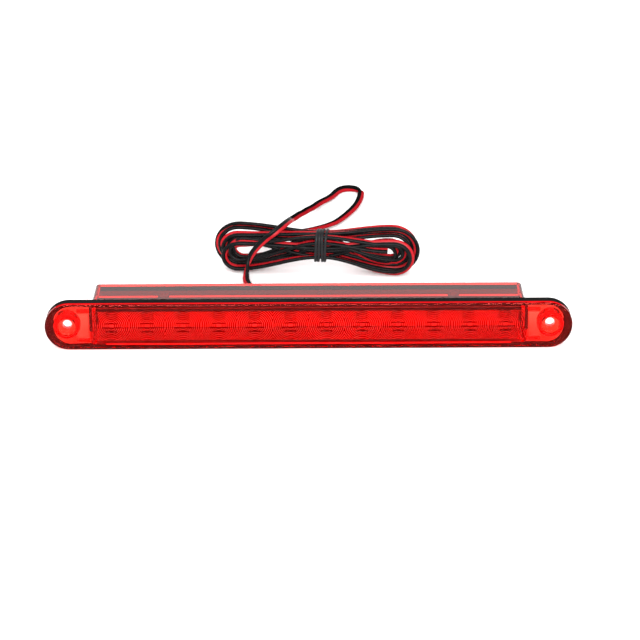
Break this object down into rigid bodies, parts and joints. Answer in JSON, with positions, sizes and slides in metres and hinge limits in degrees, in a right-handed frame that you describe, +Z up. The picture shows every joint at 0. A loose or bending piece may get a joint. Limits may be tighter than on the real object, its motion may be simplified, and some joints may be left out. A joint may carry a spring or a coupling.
{
  "type": "third brake light",
  "caption": "Slim high-level brake light: a red one-piece lens with a foam gasket, a row of LEDs on a board, a sunk rear cover and a bare-ended twin lead in a hank.",
  "frame": {"origin": "middle of the lamp's footprint, on the plane of the flange's lower edge, without the lead", "axes": "+X along the lamp, +Y from the lens towards the car body, +Z up"},
  "size_m": [0.237, 0.2111, 0.0263],
  "materials": {
    "red_lens": "clear red acrylic, polished",
    "gasket_foam": "closed-cell foam, matt black",
    "black_plastic": "moulded, fine matt",
    "board_white": "white solder mask",
    "led_clear": "clear epoxy over a white base",
    "resistor_body": "lacquered",
    "diode_body": "moulded epoxy",
    "grommet_rubber": "moulded rubber, matt",
    "lead_red_pvc": "soft PVC, satin",
    "lead_black_pvc": "soft PVC, satin",
    "tie_black": "paper and plastic coated wire, satin"
  },
  "bodies": {
    "root": {"lens_body": "red_lens", "gasket": "gasket_foam", "rear_cover": "black_plastic", "circuit_board": "board_white", "led_01": "led_clear", "led_02": "led_clear", "led_03": "led_clear", "led_04": "led_clear", "led_05": "led_clear", "led_06": "led_clear", "led_07": "led_clear", "led_08": "led_clear", "led_09": "led_clear", "led_10": "led_clear", "led_11": "led_clear", "led_12": "led_clear", "resistor_1": "resistor_body", "resistor_2": "resistor_body", "resistor_3": "resistor_body", "resistor_4": "resistor_body", "diode": "diode_body", "board_support_left": "black_plastic", "board_support_right": "black_plastic", "lead_red": "lead_red_pvc", "lead_black": "lead_black_pvc", "cable_grommet": "grommet_rubber", "cord": "lead_black_pvc", "cord_hank": "lead_black_pvc", "twist_tie": "tie_black"}
  },
  "joints": []
}
